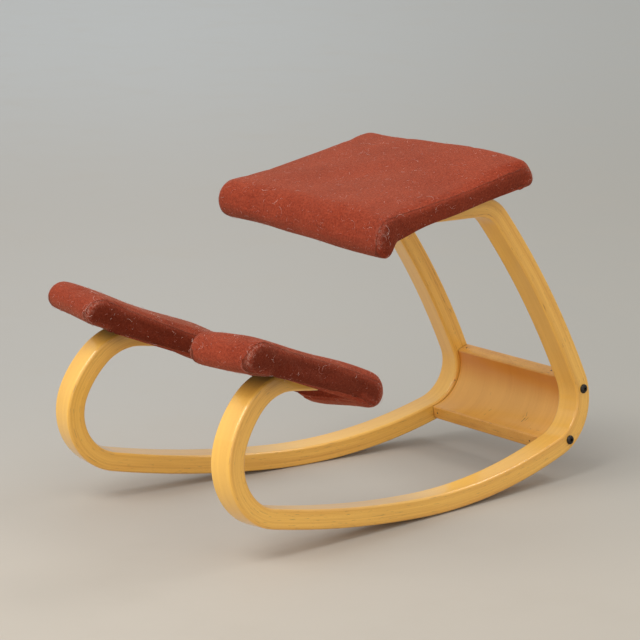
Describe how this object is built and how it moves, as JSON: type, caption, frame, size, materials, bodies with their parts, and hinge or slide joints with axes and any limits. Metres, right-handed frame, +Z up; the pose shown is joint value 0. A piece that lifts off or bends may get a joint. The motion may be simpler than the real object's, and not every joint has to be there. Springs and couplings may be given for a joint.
{
  "type": "kneeling chair",
  "caption": "Rocking kneeling chair: bent laminated wood runners joined by a curved crossbar, with a sloping upholstered seat and a separate knee pad on each runner.",
  "frame": {"origin": "middle of the whole chair's bounding box in X and Y, at floor level in Z (the lowest point of the rockers)", "axes": "+Z up; the chair faces -Y, so the knee pads are at -Y and the crossbar at +Y; +X is the left side as seen by someone facing the front of the chair, and the chair mirrors about X = 0"},
  "size_m": [0.5072, 0.7346, 0.5064],
  "materials": {
    "laminated_beech": "clear lacquer, satin",
    "laminated_beech_panel": "clear lacquer, satin",
    "board_plywood": "raw",
    "pin_wood": "dark, flush",
    "wool_cloth": "felted wool, worn",
    "lining_cloth": "thin non-woven",
    "cushion_foam": "open-cell",
    "dark_steel": "blackened, satin",
    "zinc_steel": "zinc plated"
  },
  "bodies": {
    "root": {"runner_right": "laminated_beech", "runner_left": "laminated_beech", "crossbar": "laminated_beech_panel", "seat_board": "board_plywood", "knee_pad_board_right": "board_plywood", "knee_pad_board_left": "board_plywood", "seat_cover": "wool_cloth", "knee_pad_cover_right": "wool_cloth", "knee_pad_cover_left": "wool_cloth", "seat_foam": "cushion_foam", "knee_pad_foam_right": "cushion_foam", "knee_pad_foam_left": "cushion_foam", "seat_lining": "lining_cloth", "knee_pad_lining_right": "lining_cloth", "knee_pad_lining_left": "lining_cloth", "crossbar_bolts": "dark_steel", "seat_bolts": "dark_steel", "knee_pad_bolts_right": "dark_steel", "knee_pad_bolts_left": "dark_steel", "crossbar_barrel_nuts": "zinc_steel", "seat_tee_nuts": "zinc_steel", "knee_pad_tee_nuts_right": "zinc_steel", "knee_pad_tee_nuts_left": "zinc_steel", "crossbar_edge_pins": "pin_wood"}
  },
  "joints": []
}
